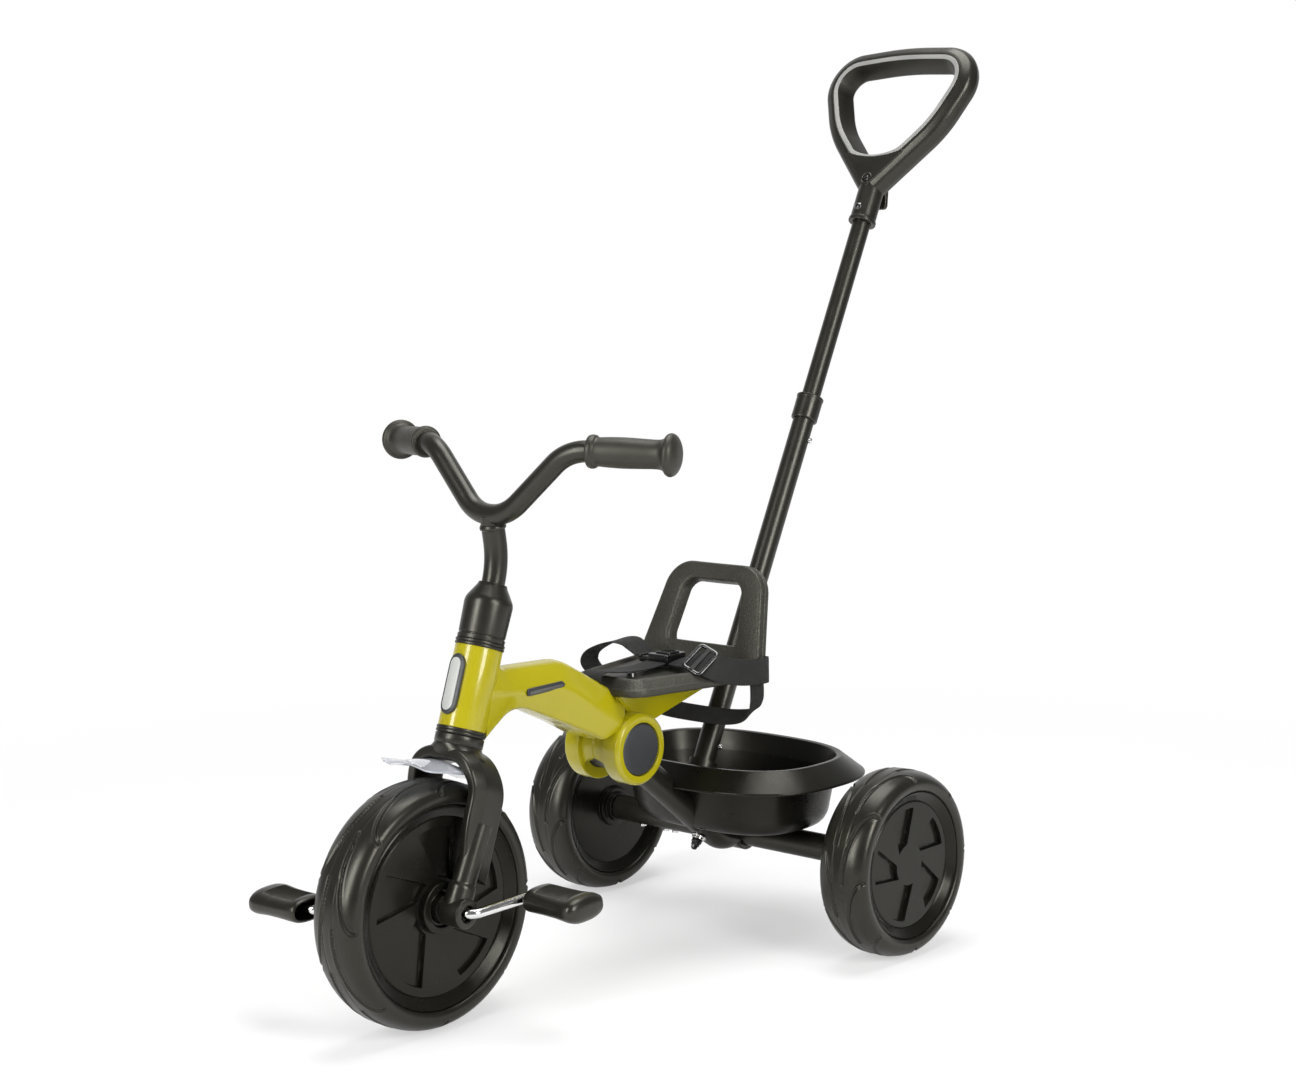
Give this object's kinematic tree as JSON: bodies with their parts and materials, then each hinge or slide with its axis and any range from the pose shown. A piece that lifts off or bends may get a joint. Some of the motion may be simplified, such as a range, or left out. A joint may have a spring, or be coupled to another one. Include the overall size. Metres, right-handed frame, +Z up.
{
  "type": "toddler push along trike",
  "caption": "Toddler's push along trike with a leaning steered fork and front pedals, folding hub, bucket seat with harness, rear basket and telescopic push bar with a loop handle",
  "frame": {"origin": "centre of the bounding box's underside, on the floor under the wheels", "axes": "+X is the rider's left, -Y is forwards, +Z is up"},
  "size_m": [0.501, 0.9706, 1.0083],
  "materials": {
    "frame_paint": "glossy olive green moulded shell with a fine seam",
    "satin_plastic": "warm charcoal moulded plastic with a satin finish",
    "grained_plastic": "fine grained charcoal plastic",
    "black_tube": "satin black powder coat on steel tube",
    "grey_plastic": "dark grey semi gloss plastic",
    "badge_silver": "blank pale grey plate",
    "grip_rubber": "soft dark grey rubber",
    "tyre_foam": "satin black foam tyre with shallow curved grooves",
    "wheel_plastic": "glossy black wheel disc",
    "bright_steel": "bright plated steel",
    "tube_steel": "plain steel tube inside the head",
    "webbing": "black ribbed webbing",
    "buckle_plastic": "black moulded buckle plastic",
    "clear_plastic": "clear flexible plastic"
  },
  "bodies": {
    "front_frame": {"frame_shell_left": "frame_paint", "frame_shell_right": "frame_paint", "head_tube": "tube_steel", "upper_bearing": "satin_plastic", "lower_bearing": "satin_plastic", "badge_bezel": "grey_plastic", "badge_plate": "badge_silver", "side_inlays": "grey_plastic", "frame_screws": "bright_steel", "seat_bracket": "frame_paint", "seat": "grained_plastic", "seat_bolts": "bright_steel", "lap_belt_left": "webbing", "lap_belt_right": "webbing", "crotch_strap": "webbing", "hanging_strap": "webbing", "buckle_socket": "buckle_plastic", "buckle_tongue": "buckle_plastic", "belt_slider": "buckle_plastic"},
    "steering": {"fork_crown": "satin_plastic", "fork_legs": "satin_plastic", "steerer_tube": "tube_steel", "head_cap": "satin_plastic", "stem": "black_tube", "handlebar": "black_tube", "left_grip": "grip_rubber", "right_grip": "grip_rubber", "mudguard": "clear_plastic"},
    "front_wheel": {"front_tyre": "tyre_foam", "front_wheel_left": "wheel_plastic", "front_wheel_right": "wheel_plastic", "pedal_crank": "bright_steel"},
    "left_pedal_body": {"left_pedal": "satin_plastic"},
    "right_pedal_body": {"right_pedal": "satin_plastic"},
    "left_button": {"left_fold_button": "grey_plastic"},
    "right_button": {"right_fold_button": "grey_plastic"},
    "rear_frame": {"fold_barrel": "grey_plastic", "button_springs": "bright_steel", "down_tube": "black_tube", "axle_tube": "black_tube", "axle_rod": "bright_steel", "basket": "satin_plastic", "push_socket": "satin_plastic", "basket_bolt": "bright_steel", "axle_screws": "bright_steel"},
    "left_rear_wheel": {"left_rear_tyre": "tyre_foam", "left_rear_outer": "wheel_plastic", "left_rear_inner": "wheel_plastic"},
    "right_rear_wheel": {"right_rear_tyre": "tyre_foam", "right_rear_outer": "wheel_plastic", "right_rear_inner": "wheel_plastic"},
    "push_lower": {"push_tube_lower": "black_tube", "push_collar": "satin_plastic"},
    "bar_lock": {"bar_lock_button": "bright_steel"},
    "height_lock": {"height_lock_button": "bright_steel"},
    "push_upper": {"push_tube_upper": "black_tube", "push_handle": "satin_plastic", "handle_plate": "grey_plastic", "handle_screws": "bright_steel"},
    "lever": {"handle_lever": "satin_plastic"}
  },
  "joints": [
    {"name": "steering_turn", "type": "hinge", "parent": "front_frame", "child": "steering", "pos_m": [0, -0.36029, 0.125], "axis": [0, 0.3256, 0.9455], "range_deg": [-45, 45]},
    {"name": "front_wheel_spin", "type": "hinge", "parent": "steering", "child": "front_wheel", "pos_m": [0, -0.36029, 0.125], "axis": [1, 0, 0], "continuous": true},
    {"name": "left_pedal_spin", "type": "hinge", "parent": "front_wheel", "child": "left_pedal_body", "pos_m": [0.119, -0.2834, 0.12903], "axis": [1, 0, 0], "continuous": true},
    {"name": "right_pedal_spin", "type": "hinge", "parent": "front_wheel", "child": "right_pedal_body", "pos_m": [-0.119, -0.43718, 0.12097], "axis": [1, 0, 0], "continuous": true},
    {"name": "frame_fold", "type": "hinge", "parent": "front_frame", "child": "rear_frame", "pos_m": [0, -0.07829, 0.238], "axis": [-1, 0, 0], "range_deg": [0, 65]},
    {"name": "left_button_press", "type": "slide", "parent": "front_frame", "child": "left_button", "axis": [-1, 0, 0], "range_m": [0, 0.004], "stiffness_N_per_m": 1000, "springref_m": -0.003},
    {"name": "right_button_press", "type": "slide", "parent": "front_frame", "child": "right_button", "axis": [1, 0, 0], "range_m": [0, 0.004], "stiffness_N_per_m": 1000, "springref_m": -0.003},
    {"name": "left_rear_wheel_spin", "type": "hinge", "parent": "rear_frame", "child": "left_rear_wheel", "pos_m": [0.22, 0.12871, 0.102], "axis": [1, 0, 0], "continuous": true},
    {"name": "right_rear_wheel_spin", "type": "hinge", "parent": "rear_frame", "child": "right_rear_wheel", "pos_m": [-0.22, 0.12871, 0.102], "axis": [1, 0, 0], "continuous": true},
    {"name": "push_bar_lift", "type": "slide", "parent": "rear_frame", "child": "push_lower", "axis": [0, 0.4493, 0.8934], "range_m": [0, 0.045]},
    {"name": "bar_lock_press", "type": "slide", "parent": "push_lower", "child": "bar_lock", "axis": [-0.8192, -0.5124, 0.2577], "range_m": [0, 0.001], "stiffness_N_per_m": 600, "springref_m": -0.001},
    {"name": "height_lock_press", "type": "slide", "parent": "push_lower", "child": "height_lock", "axis": [-0.8192, -0.5124, 0.2577], "range_m": [0, 0.001], "stiffness_N_per_m": 600, "springref_m": -0.001},
    {"name": "push_bar_height", "type": "slide", "parent": "push_lower", "child": "push_upper", "axis": [0, 0.4493, 0.8934], "range_m": [-0.15, 0]},
    {"name": "handle_lever_squeeze", "type": "hinge", "parent": "push_upper", "child": "lever", "pos_m": [0, 0.41285, 0.83726], "axis": [-1, 0, 0], "range_deg": [0, 12], "stiffness_Nm_per_rad": 0.2, "springref_deg": -9.74}
  ]
}
